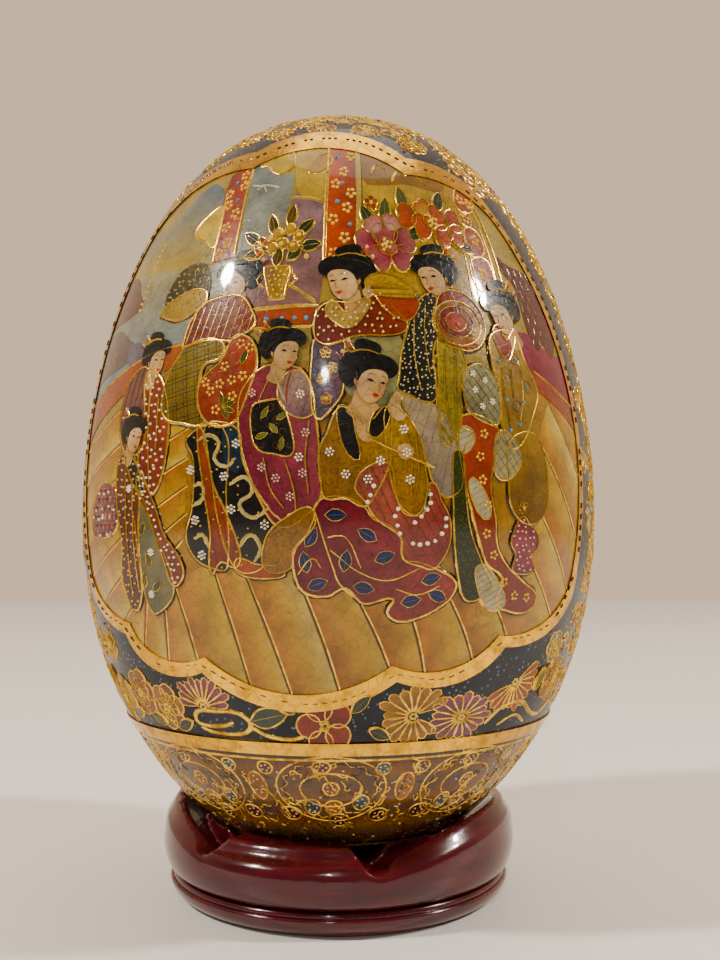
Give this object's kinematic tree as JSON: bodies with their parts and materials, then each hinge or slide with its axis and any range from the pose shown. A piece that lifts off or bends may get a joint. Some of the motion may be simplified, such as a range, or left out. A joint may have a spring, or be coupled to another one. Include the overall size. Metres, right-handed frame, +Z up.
{
  "type": "decorated egg on a stand",
  "caption": "Gilt and enamelled porcelain egg with painted panels, standing in a carved lacquered ring stand it lifts out of.",
  "frame": {"origin": "on the table, under the egg's axis, in the middle of the stand's foot", "axes": "+Z up along the egg's axis; the painted front faces -Y; +X is to the right when facing the front"},
  "size_m": [0.104, 0.104, 0.1575],
  "materials": {
    "enamelled_glaze": "glossy crackled glaze painted with enamels",
    "gilding": "fired gold, satin, over raised glaze",
    "lacquered_wood": "glossy dark red-brown lacquer"
  },
  "bodies": {
    "stand": {"stand_ring": "lacquered_wood", "stand_foot": "lacquered_wood"},
    "egg": {"egg_shell": "enamelled_glaze", "gilt_belt": "gilding", "gilt_frame_front": "gilding", "gilt_frame_back": "gilding"}
  },
  "joints": [
    {"name": "egg_lift", "type": "slide", "parent": "stand", "child": "egg", "axis": [0, 0, 1], "range_m": [0, 0.04]}
  ]
}
